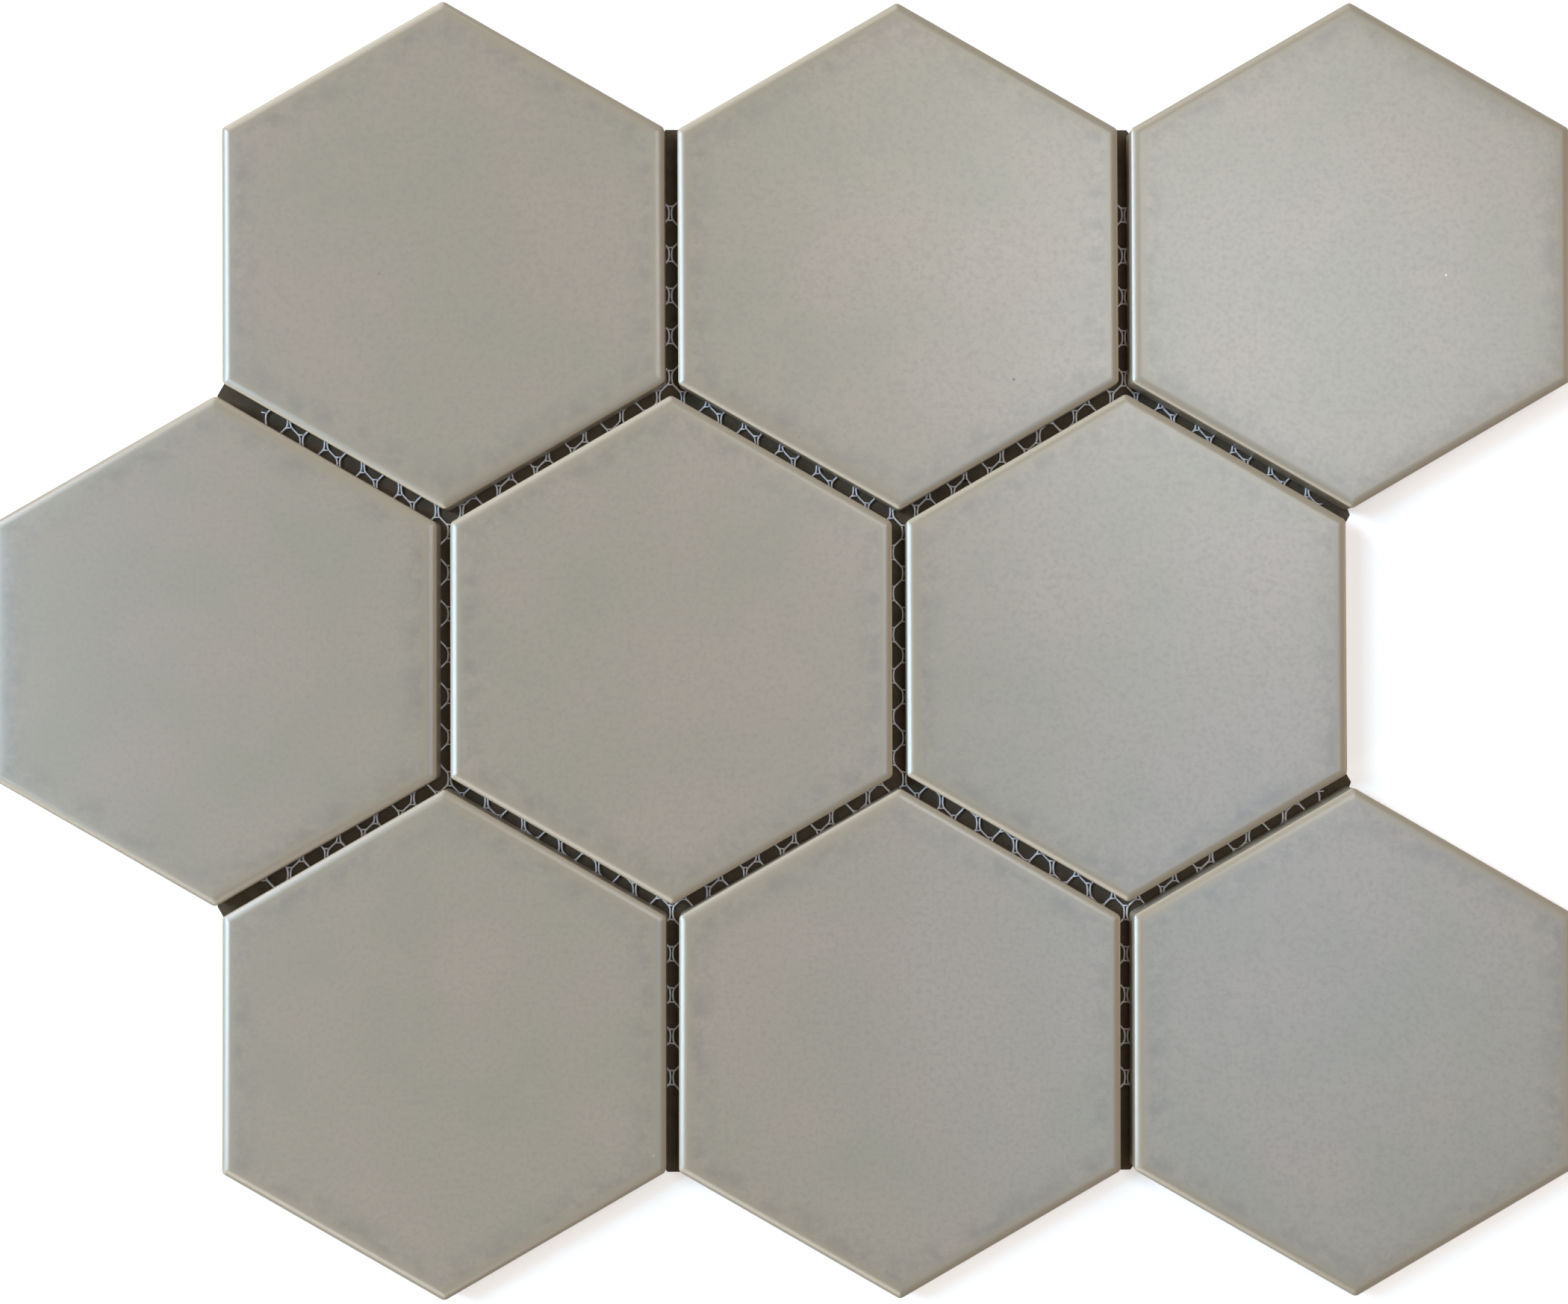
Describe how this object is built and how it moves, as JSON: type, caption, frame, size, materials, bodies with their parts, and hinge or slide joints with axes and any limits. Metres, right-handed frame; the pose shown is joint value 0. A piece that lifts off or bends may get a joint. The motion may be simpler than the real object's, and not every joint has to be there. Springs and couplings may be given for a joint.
{
  "type": "hexagon mosaic tile sheet",
  "caption": "Flat sheet of round-edged hexagon ceramic tiles in staggered rows, held at even open joints by a knitted net on their backs, for laying and grouting on floors and walls.",
  "frame": {"origin": "centre of the sheet's outline, on the underside of the backing net", "axes": "+X along the rows of tiles, +Y across the rows towards the top row, +Z out of the tile faces"},
  "size_m": [0.34, 0.279, 0.0064],
  "materials": {
    "tile": "satin",
    "net": "matte"
  },
  "bodies": {
    "root": {"tile_row1_col1": "tile", "tile_row1_col2": "tile", "tile_row1_col3": "tile", "tile_row2_col1": "tile", "tile_row2_col2": "tile", "tile_row2_col3": "tile", "tile_row3_col1": "tile", "tile_row3_col2": "tile", "tile_row3_col3": "tile", "backing_net": "net"}
  },
  "joints": []
}
